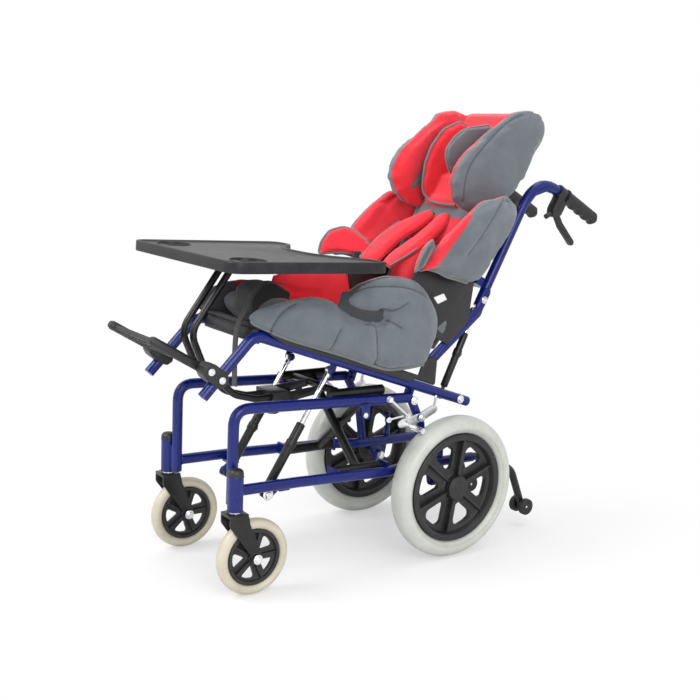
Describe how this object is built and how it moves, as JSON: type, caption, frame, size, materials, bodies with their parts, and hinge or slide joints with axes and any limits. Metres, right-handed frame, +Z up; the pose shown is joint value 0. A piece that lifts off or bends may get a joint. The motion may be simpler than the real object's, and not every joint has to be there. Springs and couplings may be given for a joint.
{
  "type": "pediatric positioning wheelchair",
  "caption": "Child's positioning wheelchair: tilting, reclining seat with side pads, wing headrest, lap tray, footplate, folding-brace base and attendant brakes.",
  "frame": {"origin": "middle of the chair's footprint, on the floor", "axes": "+X towards the occupant's left, -Y the way the chair faces, +Z up"},
  "size_m": [0.4332, 1.1446, 0.9743],
  "materials": {
    "blue_paint": "gloss blue enamel on steel tube",
    "black_plastic": "black moulded plastic and rubber",
    "black_steel": "satin black coat on steel",
    "chrome": "polished plate",
    "white_zinc": "bright zinc plate",
    "grey_fabric": "dark grey woven cover",
    "red_fabric": "bright red knitted cover",
    "grey_tyre": "pale grey non-marking rubber",
    "cream_tyre": "cream solid rubber"
  },
  "bodies": {
    "base": {"brace_leg_front": "black_steel", "brace_leg_rear": "black_steel", "tray_clamp": "black_steel", "side_frame_left": "blue_paint", "caster_cap_left": "black_plastic", "rear_axle_left": "chrome", "anti_tip_tube_left": "black_steel", "side_frame_right": "blue_paint", "caster_cap_right": "black_plastic", "rear_axle_right": "chrome", "anti_tip_tube_right": "black_steel"},
    "seat": {"seat_frame_tubes": "blue_paint", "seat_pan": "black_plastic", "seat_cushion": "red_fabric", "seat_bolster_left": "grey_fabric", "footplate_clamp_left": "black_plastic", "seat_bolster_right": "grey_fabric", "footplate_clamp_right": "black_plastic"},
    "back": {"back_frame_tubes": "blue_paint", "back_shell": "black_plastic", "back_cushion": "red_fabric", "back_wing_left": "grey_fabric", "hand_grip_left": "black_plastic", "lever_housing_left": "black_plastic", "back_wing_right": "grey_fabric", "hand_grip_right": "black_plastic", "lever_housing_right": "black_plastic"},
    "headrest": {"headrest_stem": "black_steel", "head_cushion": "grey_fabric"},
    "footplate": {"footplate_board": "black_plastic"},
    "tray": {"tray_top": "black_plastic", "tray_tubes": "black_steel"},
    "tray_knob": {"tray_clamp_knob": "black_plastic"},
    "caster_fork_left": {"caster_fork_left_plate": "black_plastic"},
    "caster_wheel_left": {"caster_rim_left": "black_plastic", "caster_tyre_left": "cream_tyre"},
    "rear_wheel_left": {"rear_rim_left": "black_plastic", "rear_tyre_left": "grey_tyre"},
    "anti_tip_wheel_left": {"anti_tip_wheels_left": "black_plastic"},
    "brake_arm_left": {"brake_arm_left_plate": "white_zinc", "brake_roller_left": "chrome"},
    "brake_lever_left": {"brake_lever_left_blade": "black_plastic"},
    "tilt_cylinder_left": {"tilt_cylinder_left_case": "black_steel"},
    "tilt_rod_left": {"tilt_rod_left_shaft": "chrome"},
    "recline_cylinder_left": {"recline_cylinder_left_case": "black_steel"},
    "recline_rod_left": {"recline_rod_left_shaft": "chrome"},
    "caster_fork_right": {"caster_fork_right_plate": "black_plastic"},
    "caster_wheel_right": {"caster_rim_right": "black_plastic", "caster_tyre_right": "cream_tyre"},
    "rear_wheel_right": {"rear_rim_right": "black_plastic", "rear_tyre_right": "grey_tyre"},
    "anti_tip_wheel_right": {"anti_tip_wheels_right": "black_plastic"},
    "brake_arm_right": {"brake_arm_right_plate": "white_zinc", "brake_roller_right": "chrome"},
    "brake_lever_right": {"brake_lever_right_blade": "black_plastic"},
    "tilt_cylinder_right": {"tilt_cylinder_right_case": "black_steel"},
    "tilt_rod_right": {"tilt_rod_right_shaft": "chrome"},
    "recline_cylinder_right": {"recline_cylinder_right_case": "black_steel"},
    "recline_rod_right": {"recline_rod_right_shaft": "chrome"}
  },
  "joints": [
    {"name": "seat_tilt", "type": "hinge", "parent": "base", "child": "seat", "pos_m": [0, 0.02549, 0.349], "axis": [-1, 0, 0], "range_deg": [-9, 2.5]},
    {"name": "back_recline", "type": "hinge", "parent": "seat", "child": "back", "pos_m": [0, 0.08049, 0.425], "axis": [-1, 0, 0], "range_deg": [0, 25]},
    {"name": "headrest_height", "type": "slide", "parent": "back", "child": "headrest", "axis": [0, 0.4555, 0.8902], "range_m": [0, 0.05]},
    {"name": "footplate_angle", "type": "hinge", "parent": "seat", "child": "footplate", "pos_m": [0, -0.46351, 0.451], "axis": [-1, 0, 0], "range_deg": [-30, 45]},
    {"name": "tray_depth", "type": "slide", "parent": "base", "child": "tray", "axis": [0, 1, 0], "range_m": [-0.03, 0]},
    {"name": "tray_knob_turn", "type": "hinge", "parent": "base", "child": "tray_knob", "pos_m": [0, -0.24651, 0.3452], "axis": [0, 0, 1], "continuous": true},
    {"name": "caster_swivel_left", "type": "hinge", "parent": "base", "child": "caster_fork_left", "pos_m": [0.148, -0.41251, 0.177], "axis": [0, 0, 1], "continuous": true},
    {"name": "caster_roll_left", "type": "hinge", "parent": "caster_fork_left", "child": "caster_wheel_left", "pos_m": [0.148, -0.37151, 0.0775], "axis": [1, 0, 0], "continuous": true},
    {"name": "rear_wheel_roll_left", "type": "hinge", "parent": "base", "child": "rear_wheel_left", "pos_m": [0.169, 0.11449, 0.1575], "axis": [1, 0, 0], "continuous": true},
    {"name": "anti_tip_roll_left", "type": "hinge", "parent": "base", "child": "anti_tip_wheel_left", "pos_m": [0.1, 0.39649, 0.049], "axis": [1, 0, 0], "continuous": true},
    {"name": "brake_squeeze_left", "type": "hinge", "parent": "back", "child": "brake_lever_left", "pos_m": [0.1, 0.43149, 0.75], "axis": [1, 0, 0], "range_deg": [0, 18], "stiffness_Nm_per_rad": 0.8, "springref_deg": -6.88},
    {"name": "brake_arm_swing_left", "type": "hinge", "parent": "base", "child": "brake_arm_left", "pos_m": [0.1335, 0.04349, 0.311], "axis": [1, 0, 0], "range_deg": [0, 1]},
    {"name": "tilt_strut_swing_left", "type": "hinge", "parent": "base", "child": "tilt_cylinder_left", "pos_m": [0.078, -0.30651, 0.176], "axis": [-1, 0, 0], "range_deg": [-0.6, 1.8]},
    {"name": "tilt_strut_extend_left", "type": "slide", "parent": "tilt_cylinder_left", "child": "tilt_rod_left", "axis": [0, 0.5201, 0.8541], "range_m": [-0.031, 0.009]},
    {"name": "recline_strut_swing_left", "type": "hinge", "parent": "seat", "child": "recline_cylinder_left", "pos_m": [0.0965, 0.12655, 0.34503], "axis": [-1, 0, 0], "range_deg": [-0.2, 19.5]},
    {"name": "recline_strut_extend_left", "type": "slide", "parent": "recline_cylinder_left", "child": "recline_rod_left", "axis": [0, 0.4131, 0.9107], "range_m": [-0.037, 0.0005]},
    {"name": "caster_swivel_right", "type": "hinge", "parent": "base", "child": "caster_fork_right", "pos_m": [-0.148, -0.41251, 0.177], "axis": [0, 0, 1], "continuous": true},
    {"name": "caster_roll_right", "type": "hinge", "parent": "caster_fork_right", "child": "caster_wheel_right", "pos_m": [-0.148, -0.37151, 0.0775], "axis": [1, 0, 0], "continuous": true},
    {"name": "rear_wheel_roll_right", "type": "hinge", "parent": "base", "child": "rear_wheel_right", "pos_m": [-0.169, 0.11449, 0.1575], "axis": [1, 0, 0], "continuous": true},
    {"name": "anti_tip_roll_right", "type": "hinge", "parent": "base", "child": "anti_tip_wheel_right", "pos_m": [-0.1, 0.39649, 0.049], "axis": [1, 0, 0], "continuous": true},
    {"name": "brake_squeeze_right", "type": "hinge", "parent": "back", "child": "brake_lever_right", "pos_m": [-0.1, 0.43149, 0.75], "axis": [1, 0, 0], "range_deg": [0, 18], "stiffness_Nm_per_rad": 0.8, "springref_deg": -6.88},
    {"name": "brake_arm_swing_right", "type": "hinge", "parent": "base", "child": "brake_arm_right", "pos_m": [-0.1335, 0.04349, 0.311], "axis": [1, 0, 0], "range_deg": [0, 1]},
    {"name": "tilt_strut_swing_right", "type": "hinge", "parent": "base", "child": "tilt_cylinder_right", "pos_m": [-0.078, -0.30651, 0.176], "axis": [-1, 0, 0], "range_deg": [-0.6, 1.8]},
    {"name": "tilt_strut_extend_right", "type": "slide", "parent": "tilt_cylinder_right", "child": "tilt_rod_right", "axis": [0, 0.5201, 0.8541], "range_m": [-0.031, 0.009]},
    {"name": "recline_strut_swing_right", "type": "hinge", "parent": "seat", "child": "recline_cylinder_right", "pos_m": [-0.0965, 0.12655, 0.34503], "axis": [-1, 0, 0], "range_deg": [-0.2, 19.5]},
    {"name": "recline_strut_extend_right", "type": "slide", "parent": "recline_cylinder_right", "child": "recline_rod_right", "axis": [0, 0.4131, 0.9107], "range_m": [-0.037, 0.0005]}
  ],
  "couplings": [
    {"joint": "tilt_strut_swing_left", "follows": "seat_tilt", "ratio": -0.1797},
    {"joint": "tilt_strut_extend_left", "follows": "seat_tilt", "m_per_rad": 0.19048},
    {"joint": "recline_strut_swing_left", "follows": "back_recline", "ratio": 0.76},
    {"joint": "recline_strut_extend_left", "follows": "back_recline", "m_per_rad": -0.08193},
    {"joint": "brake_arm_swing_left", "follows": "brake_squeeze_left", "ratio": 0.0555},
    {"joint": "tilt_strut_swing_right", "follows": "seat_tilt", "ratio": -0.1797},
    {"joint": "tilt_strut_extend_right", "follows": "seat_tilt", "m_per_rad": 0.19048},
    {"joint": "recline_strut_swing_right", "follows": "back_recline", "ratio": 0.76},
    {"joint": "recline_strut_extend_right", "follows": "back_recline", "m_per_rad": -0.08193},
    {"joint": "brake_arm_swing_right", "follows": "brake_squeeze_right", "ratio": 0.0555}
  ]
}
